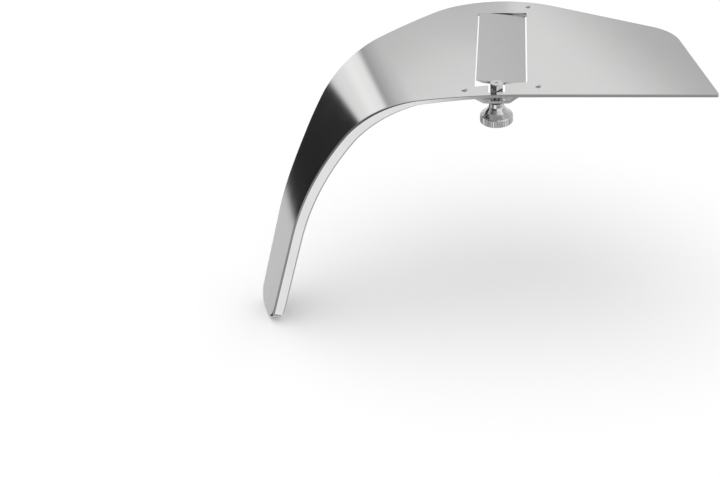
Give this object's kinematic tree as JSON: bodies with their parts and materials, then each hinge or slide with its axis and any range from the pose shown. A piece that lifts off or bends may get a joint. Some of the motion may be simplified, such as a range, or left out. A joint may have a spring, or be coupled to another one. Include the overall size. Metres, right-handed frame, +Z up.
{
  "type": "truffle slicer",
  "caption": "Polished steel truffle slicer: a wide plate that curls down into a grip, with a hinged blade in a window and a knurled nut that sets the slice thickness.",
  "frame": {"origin": "on the plate's straight near edge, level with the adjusting bolt, at the plate's top face", "axes": "+X along the near edge towards the tip, +Y across the plate away from the near edge, +Z up out of the plate; the grip curls down on the -X side"},
  "size_m": [0.1768, 0.0878, 0.1063],
  "materials": {
    "polished_steel": "mirror polished stainless steel",
    "ground_steel": "fine ground, grain across the blade",
    "spring_steel": "drawn, satin",
    "bright_steel": "bright",
    "pressed_steel": "pressed and polished",
    "turned_steel": "turned and polished, straight knurled rim",
    "black_nylon": "matte"
  },
  "bodies": {
    "frame": {"body": "polished_steel", "bridge": "pressed_steel", "bridge_rivets": "bright_steel", "hinge_rivet": "bright_steel", "hinge_bracket": "pressed_steel", "hinge_pin": "bright_steel", "friction_washer": "black_nylon", "lift_spring": "spring_steel"},
    "cutter": {"blade": "ground_steel", "hinge_leaf": "spring_steel"},
    "bolt": {"adjusting_bolt": "bright_steel"},
    "nut": {"thumb_nut": "turned_steel"}
  },
  "joints": [
    {"name": "nut_turn", "type": "hinge", "parent": "frame", "child": "nut", "pos_m": [0.0002, 0.0051, -0.01], "axis": [0, 0, -1], "range_deg": [-734.4, 367.2]},
    {"name": "bolt_lift", "type": "slide", "parent": "frame", "child": "bolt", "axis": [0, 0, 1], "range_m": [-0.0009, 0.00045], "deforming": ["lift_spring"]},
    {"name": "blade_tilt", "type": "hinge", "parent": "frame", "child": "cutter", "pos_m": [0.00129, 0.0781, -0.00498], "axis": [-0.9954, 0, 0.0958], "range_deg": [-0.72, 0.36]}
  ],
  "couplings": [
    {"joint": "nut_turn", "follows": "bolt_lift", "rad_per_m": 13963},
    {"joint": "blade_tilt", "follows": "bolt_lift", "rad_per_m": 13.699}
  ]
}
